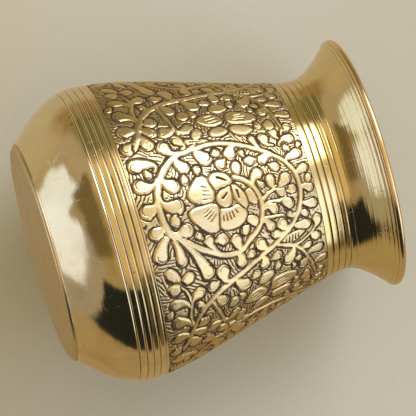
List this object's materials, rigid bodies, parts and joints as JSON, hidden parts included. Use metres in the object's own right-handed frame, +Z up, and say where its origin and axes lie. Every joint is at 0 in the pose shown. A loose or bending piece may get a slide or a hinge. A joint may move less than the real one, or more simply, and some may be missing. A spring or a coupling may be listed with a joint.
{
  "type": "lota water pot",
  "caption": "Round-bellied brass water pot with an engraved body, turned bands at belly and neck, and a flared mouth with a thick rim.",
  "frame": {"origin": "centre of the underside", "axes": "+Z up along the pot's axis, from the base to the mouth; X and Y are alike"},
  "size_m": [0.102, 0.102, 0.115],
  "materials": {
    "polished_brass": "mirror polished, with fine turning lines",
    "engraved_brass": "hand engraved, dark oxidised recesses and worn bright lands",
    "rim_brass": "polished",
    "underside_brass": "turned and handled, dull",
    "braze_metal": "as melted, dull"
  },
  "bodies": {
    "root": {"base_plate": "underside_brass", "base_braze": "braze_metal", "lower_bowl": "polished_brass", "belly_braze": "braze_metal", "engraved_body": "engraved_brass", "neck_braze": "braze_metal", "neck_and_mouth": "polished_brass", "rim_braze": "braze_metal", "rim_ring": "rim_brass"}
  },
  "joints": []
}
